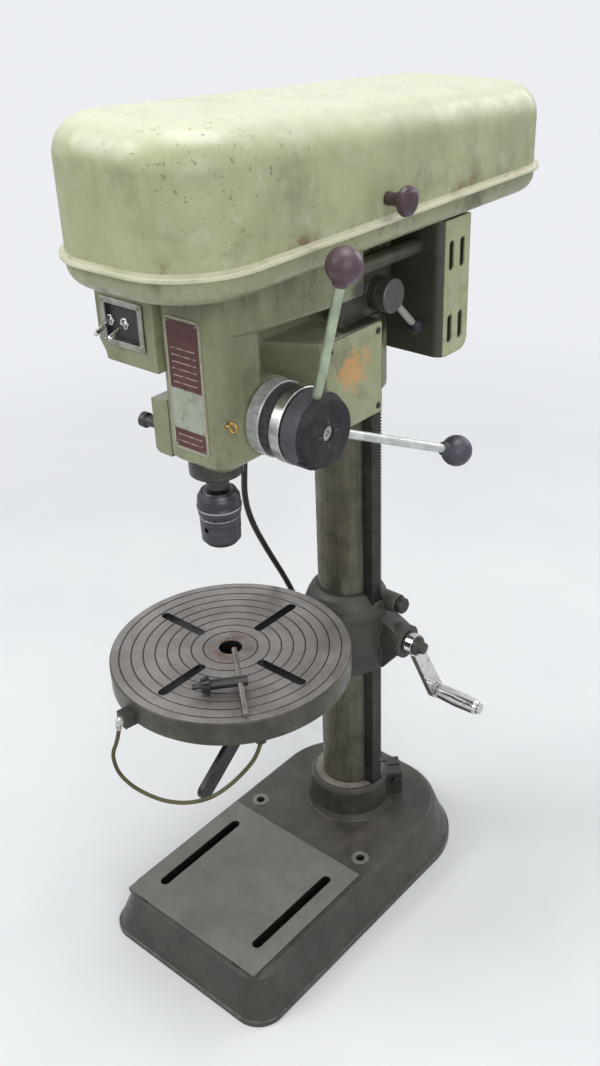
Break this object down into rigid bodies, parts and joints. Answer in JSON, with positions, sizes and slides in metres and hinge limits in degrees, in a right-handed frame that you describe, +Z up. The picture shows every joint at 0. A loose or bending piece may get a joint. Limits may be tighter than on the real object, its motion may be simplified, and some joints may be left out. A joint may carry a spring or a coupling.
{
  "type": "bench pillar drill press",
  "caption": "Belt driven bench pillar drill with a rack lifted round slotted table, three spoke feed hub, key chuck, hinged belt cover and slotted cast base.",
  "frame": {"origin": "column axis at the bench face of the base", "axes": "+Z up the column, +Y towards the motor, +X towards the operator's right hand"},
  "size_m": [0.534, 0.6132, 0.9857],
  "materials": {
    "head_paint": "semi-gloss",
    "dark_iron": "painted, worn",
    "table_iron": "machined",
    "column_steel": "ground, dull",
    "dark_steel": "oiled",
    "bright_steel": "turned",
    "chrome": "polished",
    "black_plastic": "satin",
    "rubber": "matt",
    "red_plate": "gloss",
    "aluminium": "cast",
    "brass": "dull"
  },
  "bodies": {
    "frame": {"base": "dark_iron", "column": "column_steel", "rack": "dark_steel", "base_clamp_screw": "dark_steel", "head_casting": "head_paint", "gearbox_cover": "head_paint", "head_clamp_screws": "dark_steel", "belt_tray": "head_paint", "switch_box": "bright_steel", "nameplate": "red_plate", "v_belt": "rubber", "return_spring_cap": "head_paint", "return_spring": "dark_steel", "drive_bearings": "bright_steel", "dial_pointer": "brass", "power_lead": "rubber", "lead_coil": "rubber", "power_plug": "black_plastic", "lead_gland": "rubber", "cover_hinge_pins": "bright_steel"},
    "table_lift": {"table_bracket": "dark_iron"},
    "bracket_lock": {"bracket_lock_screw": "dark_steel"},
    "crank": {"lift_pinion": "dark_steel", "crank_arm": "chrome", "crank_nut": "dark_steel"},
    "grip": {"crank_grip": "chrome"},
    "table": {"table": "table_iron", "tether_screw": "bright_steel", "tether_cord": "rubber", "chuck_key": "dark_steel", "chuck_key_bar": "bright_steel"},
    "table_clamp": {"table_clamp_lever": "dark_steel"},
    "feed": {"feed_shaft": "bright_steel", "depth_dial": "bright_steel", "dial_lock_ring": "dark_steel", "feed_hub": "black_plastic", "feed_spokes": "bright_steel", "feed_balls": "black_plastic"},
    "quill": {"quill": "dark_steel", "quill_collar": "dark_steel", "quill_bearings": "bright_steel"},
    "spindle": {"spindle": "bright_steel", "chuck_body": "dark_steel"},
    "sleeve": {"chuck_sleeve": "dark_steel"},
    "jaw_1": {"chuck_jaw_1": "bright_steel"},
    "jaw_2": {"chuck_jaw_2": "bright_steel"},
    "jaw_3": {"chuck_jaw_3": "bright_steel"},
    "drive": {"drive_sleeve": "bright_steel", "spindle_pulley": "aluminium"},
    "motor": {"motor_body": "head_paint", "motor_bracket": "head_paint", "slide_rods": "dark_steel"},
    "rotor": {"motor_shaft": "bright_steel", "motor_pulley": "aluminium"},
    "tension": {"tension_lever": "dark_steel"},
    "cover": {"belt_cover": "head_paint", "cover_knob": "black_plastic"},
    "switch_left": {"toggle_left": "chrome"},
    "switch_right": {"toggle_right": "chrome"},
    "quill_lock": {"quill_lock_screw": "black_plastic"}
  },
  "joints": [
    {"name": "table_height", "type": "slide", "parent": "frame", "child": "table_lift", "axis": [0, 0, 1], "range_m": [-0.16, 0.04]},
    {"name": "crank_turn", "type": "hinge", "parent": "table_lift", "child": "crank", "pos_m": [0.08, 0.01875, 0.335], "axis": [1, 0, 0], "range_deg": [-815.5, 204.5]},
    {"name": "grip_turn", "type": "hinge", "parent": "crank", "child": "grip", "pos_m": [0.125, 0.06869, 0.23699], "axis": [1, 0, 0], "continuous": true},
    {"name": "bracket_lock_turn", "type": "hinge", "parent": "table_lift", "child": "bracket_lock", "pos_m": [0.07, 0.018, 0.385], "axis": [1, 0, 0], "range_deg": [0, 180]},
    {"name": "table_turn", "type": "hinge", "parent": "table_lift", "child": "table", "pos_m": [0, -0.205, 0.35], "axis": [0, 0, 1], "range_deg": [-130, 95]},
    {"name": "table_clamp_turn", "type": "hinge", "parent": "table_lift", "child": "table_clamp", "pos_m": [0, -0.25, 0.346], "axis": [1, 0, 0], "range_deg": [0, 50]},
    {"name": "quill_feed", "type": "slide", "parent": "frame", "child": "quill", "axis": [0, 0, 1], "range_m": [-0.065, 0], "stiffness_N_per_m": 250, "springref_m": 0.2},
    {"name": "feed_turn", "type": "hinge", "parent": "frame", "child": "feed", "pos_m": [0.09, -0.1695, 0.695], "axis": [1, 0, 0], "range_deg": [0, 248.5]},
    {"name": "motor_spin", "type": "hinge", "parent": "motor", "child": "rotor", "pos_m": [0, 0.128, 0.89], "axis": [0, 0, 1], "continuous": true},
    {"name": "drive_spin", "type": "hinge", "parent": "frame", "child": "drive", "pos_m": [0, -0.205, 0.89], "axis": [0, 0, 1], "continuous": true},
    {"name": "spindle_spin", "type": "hinge", "parent": "quill", "child": "spindle", "pos_m": [0, -0.205, 0.7], "axis": [0, 0, 1], "continuous": true},
    {"name": "sleeve_turn", "type": "hinge", "parent": "spindle", "child": "sleeve", "pos_m": [0, -0.205, 0.6], "axis": [0, 0, 1], "range_deg": [0, 2160]},
    {"name": "jaw_1_slide", "type": "slide", "parent": "spindle", "child": "jaw_1", "axis": [0, 0.2588, 0.9659], "range_m": [0, 0.0121]},
    {"name": "jaw_2_slide", "type": "slide", "parent": "spindle", "child": "jaw_2", "axis": [-0.2241, -0.1294, 0.9659], "range_m": [0, 0.0121]},
    {"name": "jaw_3_slide", "type": "slide", "parent": "spindle", "child": "jaw_3", "axis": [0.2241, -0.1294, 0.9659], "range_m": [0, 0.0121]},
    {"name": "motor_slide", "type": "slide", "parent": "frame", "child": "motor", "axis": [0, 1, 0], "range_m": [-0.008, 0], "deforming": ["v_belt"]},
    {"name": "tension_turn", "type": "hinge", "parent": "frame", "child": "tension", "pos_m": [0.06, 0, 0.774], "axis": [-1, 0, 0], "range_deg": [0, 40.2]},
    {"name": "cover_lift", "type": "hinge", "parent": "frame", "child": "cover", "pos_m": [-0.113, 0, 0.865], "axis": [0, -1, 0], "range_deg": [0, 100]},
    {"name": "toggle_left_tip", "type": "hinge", "parent": "frame", "child": "switch_left", "pos_m": [-0.089, -0.242, 0.7875], "axis": [1, 0, 0], "range_deg": [-41, 0]},
    {"name": "toggle_right_tip", "type": "hinge", "parent": "frame", "child": "switch_right", "pos_m": [-0.068, -0.242, 0.7875], "axis": [1, 0, 0], "range_deg": [-41, 0]},
    {"name": "quill_lock_turn", "type": "hinge", "parent": "frame", "child": "quill_lock", "pos_m": [-0.07, -0.229, 0.681], "axis": [1, 0, 0], "range_deg": [0, 180]}
  ],
  "couplings": [
    {"joint": "crank_turn", "follows": "table_height", "rad_per_m": 88.889},
    {"joint": "feed_turn", "follows": "quill_feed", "rad_per_m": -66.667},
    {"joint": "drive_spin", "follows": "motor_spin", "ratio": 0.76238},
    {"joint": "spindle_spin", "follows": "motor_spin", "ratio": 0.76238},
    {"joint": "tension_turn", "follows": "motor_slide", "rad_per_m": -87.266},
    {"joint": "jaw_1_slide", "follows": "sleeve_turn", "m_per_rad": 0.00031831},
    {"joint": "jaw_2_slide", "follows": "sleeve_turn", "m_per_rad": 0.00031831},
    {"joint": "jaw_3_slide", "follows": "sleeve_turn", "m_per_rad": 0.00031831}
  ]
}
